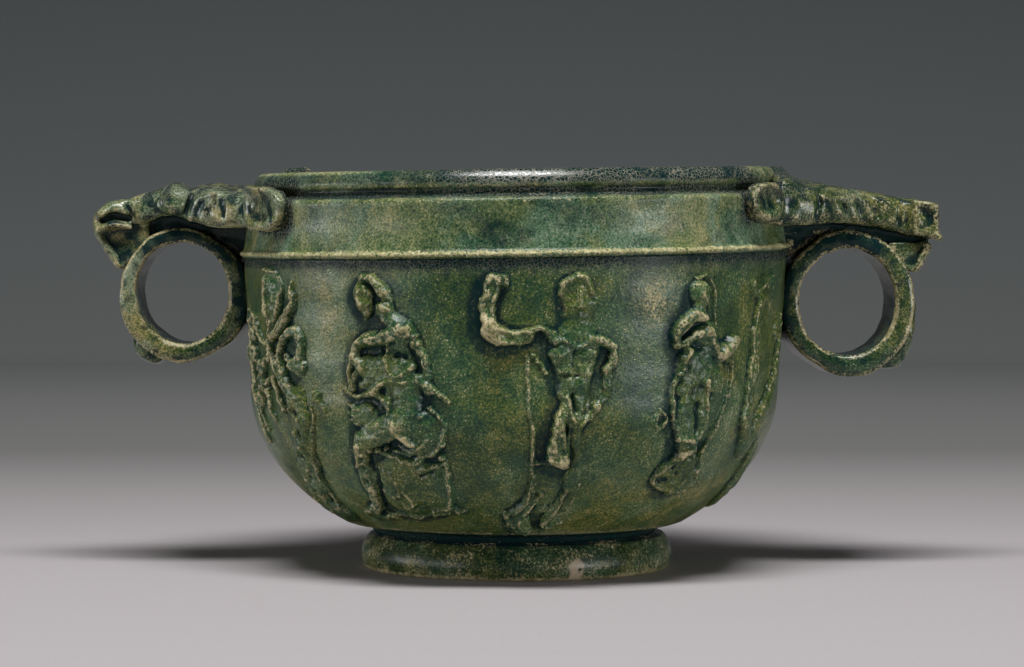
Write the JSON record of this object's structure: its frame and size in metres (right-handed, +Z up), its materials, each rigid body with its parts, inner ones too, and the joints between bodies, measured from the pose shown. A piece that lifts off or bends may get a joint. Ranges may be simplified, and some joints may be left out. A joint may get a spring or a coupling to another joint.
{
  "type": "two-handled drinking cup",
  "caption": "Low round cup of green-glazed earthenware with relief figures, a collared rim, ring handles with thumb plates and a foot ring; holds drink.",
  "frame": {"origin": "on the table under the middle of the foot ring", "axes": "+Z up, +X towards the right handle seen from the front, the front faces -Y"},
  "size_m": [0.1524, 0.1013, 0.072],
  "materials": {
    "green_glaze": "glossy mottled green lead glaze, pooled dark in the recesses",
    "collar_glaze": "glossy crackled green lead glaze",
    "worn_glaze": "green lead glaze, worn to olive and tan on the edges and high spots",
    "foot_glaze": "thin green lead glaze, chipped to bare clay"
  },
  "bodies": {
    "root": {"foot_ring": "foot_glaze", "bowl": "green_glaze", "rim_collar": "collar_glaze", "right_handle_ring": "worn_glaze", "right_thumb_plate": "worn_glaze", "right_finger_spur": "worn_glaze", "left_handle_ring": "worn_glaze", "left_thumb_plate": "worn_glaze", "left_finger_spur": "worn_glaze", "front_seated_figure": "green_glaze", "front_standing_figure": "green_glaze", "front_draped_figure": "green_glaze", "back_draped_figure": "green_glaze", "back_standing_figure": "green_glaze", "back_seated_figure": "green_glaze", "left_front_vine": "green_glaze", "left_back_vine": "green_glaze", "right_front_tree": "green_glaze", "right_back_tree": "green_glaze"}
  },
  "joints": []
}
